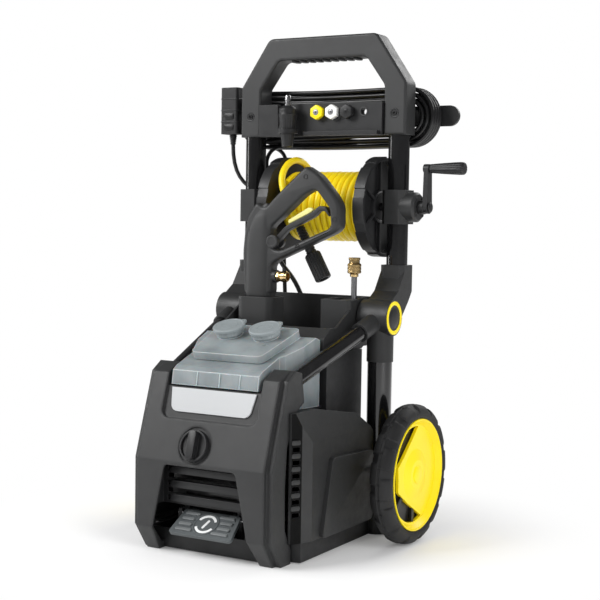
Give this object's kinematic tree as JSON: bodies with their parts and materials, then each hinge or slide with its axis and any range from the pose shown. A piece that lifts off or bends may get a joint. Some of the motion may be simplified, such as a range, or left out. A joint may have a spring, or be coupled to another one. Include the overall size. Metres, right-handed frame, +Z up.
{
  "type": "pressure washer",
  "caption": "Upright wheeled electric pressure washer with a tube frame, hose reel, detergent tank, spray gun, wand, nozzles and a coiled power cord.",
  "frame": {"origin": "centre of the bottom of the bounding box, on the floor", "axes": "+X to the right seen from the front, -Y out of the front cover, +Z up"},
  "size_m": [0.559, 0.5276, 0.935],
  "materials": {
    "black_shell": "fine-textured charcoal black",
    "dark_shell": "fine-textured near-black",
    "tank_plastic": "translucent smoky blue-grey",
    "cap_grey": "satin grey",
    "pedal_grey": "satin mid grey",
    "plate_silver": "satin silver-white",
    "frame_paint": "gloss black",
    "yellow": "satin vivid yellow",
    "hose_yellow": "satin yellow jacket",
    "tyre_black": "matt black rubber",
    "cord_black": "satin black jacket",
    "brass": "turned brass",
    "steel": "brushed",
    "motor_paint": "satin dark grey",
    "pump_alloy": "cast",
    "white_plastic": "satin white",
    "lock_cream": "pale yellow"
  },
  "bodies": {
    "machine": {"base_chassis": "dark_shell", "inner_housing": "black_shell", "front_cover": "black_shell", "front_grille": "dark_shell", "nameplate": "plate_silver", "left_side_cover": "dark_shell", "right_side_cover": "dark_shell", "soap_tank": "tank_plastic", "accessory_tray": "black_shell", "motor": "motor_paint", "pump": "pump_alloy", "left_lower_leg": "frame_paint", "right_lower_leg": "frame_paint", "left_hub_joint": "black_shell", "right_hub_joint": "black_shell", "hub_rings": "yellow", "left_strut": "frame_paint", "right_strut": "frame_paint", "left_upper_tube": "frame_paint", "right_upper_tube": "frame_paint", "handle": "black_shell", "handle_screws": "steel", "nozzle_panel": "black_shell", "left_reel_collar": "black_shell", "right_reel_collar": "black_shell", "axle": "steel", "cord_coil": "cord_black", "plug_lead": "cord_black", "gfci_plug": "dark_shell", "machine_lead": "cord_black", "feed_hose": "cord_black", "back_fittings": "brass", "reel_swivel": "black_shell", "hose_tail": "hose_yellow", "hose_end": "dark_shell", "pedal_pin": "steel"},
    "left_wheel": {"left_tyre": "tyre_black", "left_rim": "yellow"},
    "right_wheel": {"right_tyre": "tyre_black", "right_rim": "yellow"},
    "reel": {"reel_drum": "dark_shell", "left_reel_flange": "dark_shell", "right_reel_flange": "dark_shell", "hose_winding": "hose_yellow", "crank_arm": "dark_shell"},
    "crank_grip": {"crank_grip": "dark_shell"},
    "foot_pedal": {"foot_pedal": "pedal_grey"},
    "selector_knob": {"selector_knob": "dark_shell"},
    "left_tank_cap": {"left_tank_cap": "cap_grey"},
    "right_tank_cap": {"right_tank_cap": "cap_grey"},
    "spray_gun": {"gun_body": "dark_shell", "gun_inlet": "brass"},
    "gun_trigger": {"gun_trigger": "dark_shell", "trigger_lock": "lock_cream"},
    "wand": {"wand_tube": "steel", "wand_coupling": "brass"},
    "yellow_nozzle": {"yellow_nozzle": "yellow"},
    "white_nozzle": {"white_nozzle": "white_plastic"},
    "black_nozzle": {"black_nozzle": "dark_shell"},
    "turbo_nozzle": {"turbo_nozzle": "dark_shell"}
  },
  "joints": [
    {"name": "left_wheel_spin", "type": "hinge", "parent": "machine", "child": "left_wheel", "pos_m": [-0.2585, 0.06481, 0.127], "axis": [1, 0, 0], "continuous": true},
    {"name": "right_wheel_spin", "type": "hinge", "parent": "machine", "child": "right_wheel", "pos_m": [0.2275, 0.06481, 0.127], "axis": [1, 0, 0], "continuous": true},
    {"name": "reel_spin", "type": "hinge", "parent": "machine", "child": "reel", "pos_m": [-0.0155, 0.16881, 0.609], "axis": [1, 0, 0], "continuous": true},
    {"name": "crank_grip_spin", "type": "hinge", "parent": "reel", "child": "crank_grip", "pos_m": [0.2465, 0.16881, 0.681], "axis": [1, 0, 0], "continuous": true},
    {"name": "foot_pedal_press", "type": "hinge", "parent": "machine", "child": "foot_pedal", "pos_m": [-0.0155, -0.20219, 0.068], "axis": [1, 0, 0], "range_deg": [0, 7], "stiffness_Nm_per_rad": 3, "springref_deg": -3.44},
    {"name": "selector_turn", "type": "hinge", "parent": "machine", "child": "selector_knob", "pos_m": [-0.0305, -0.2416, 0.195], "axis": [0, -0.9525, 0.3045], "range_deg": [-90, 90]},
    {"name": "left_cap_lift", "type": "slide", "parent": "machine", "child": "left_tank_cap", "axis": [0, -0.3338, 0.9426], "range_m": [0, 0.03]},
    {"name": "right_cap_lift", "type": "slide", "parent": "machine", "child": "right_tank_cap", "axis": [0, -0.3338, 0.9426], "range_m": [0, 0.03]},
    {"name": "gun_lift", "type": "slide", "parent": "machine", "child": "spray_gun", "axis": [0, 0, 1], "range_m": [0, 0.09]},
    {"name": "trigger_pull", "type": "hinge", "parent": "spray_gun", "child": "gun_trigger", "pos_m": [-0.0525, 0.05081, 0.541], "axis": [0, -1, 0], "range_deg": [0, 8], "stiffness_Nm_per_rad": 2, "springref_deg": -5.73},
    {"name": "wand_lift", "type": "slide", "parent": "machine", "child": "wand", "axis": [0, 0, 1], "range_m": [0, 0.025]},
    {"name": "yellow_nozzle_pull", "type": "slide", "parent": "machine", "child": "yellow_nozzle", "axis": [0, -1, 0], "range_m": [0, 0.04]},
    {"name": "white_nozzle_pull", "type": "slide", "parent": "machine", "child": "white_nozzle", "axis": [0, -1, 0], "range_m": [0, 0.04]},
    {"name": "black_nozzle_pull", "type": "slide", "parent": "machine", "child": "black_nozzle", "axis": [0, -1, 0], "range_m": [0, 0.04]},
    {"name": "turbo_nozzle_lift", "type": "slide", "parent": "machine", "child": "turbo_nozzle", "axis": [0, 0, 1], "range_m": [0, 0.09]}
  ]
}
